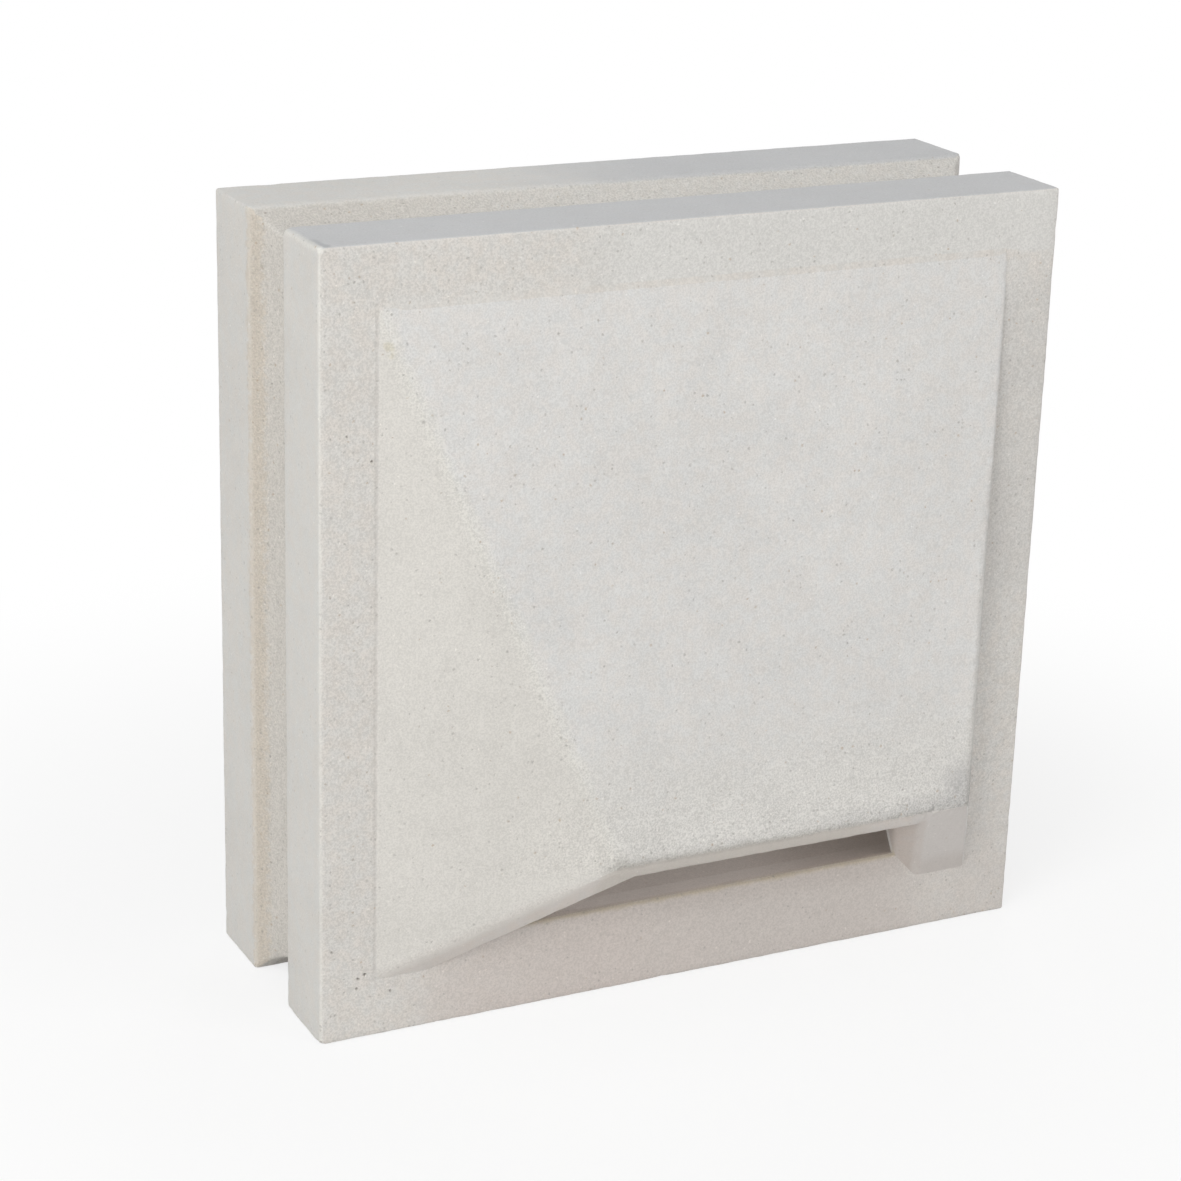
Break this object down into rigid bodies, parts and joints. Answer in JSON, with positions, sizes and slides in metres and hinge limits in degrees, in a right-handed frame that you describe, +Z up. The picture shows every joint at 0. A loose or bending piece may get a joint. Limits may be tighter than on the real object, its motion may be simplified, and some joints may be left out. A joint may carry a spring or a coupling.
{
  "type": "decorative screen block",
  "caption": "Square cast cement screen block with round mortar grooves, a faceted hood on its front and a sheltered air slot that leads into a hollow open at the back.",
  "frame": {"origin": "under the middle of the whole block, on the plane that it stands on", "axes": "+X to the right seen from the front, +Y from the hood towards the open back, +Z up"},
  "size_m": [0.19, 0.075, 0.19],
  "materials": {
    "cast_cement": "matt, fine sandy grain with small pits"
  },
  "bodies": {
    "root": {"screen_block": "cast_cement"}
  },
  "joints": []
}
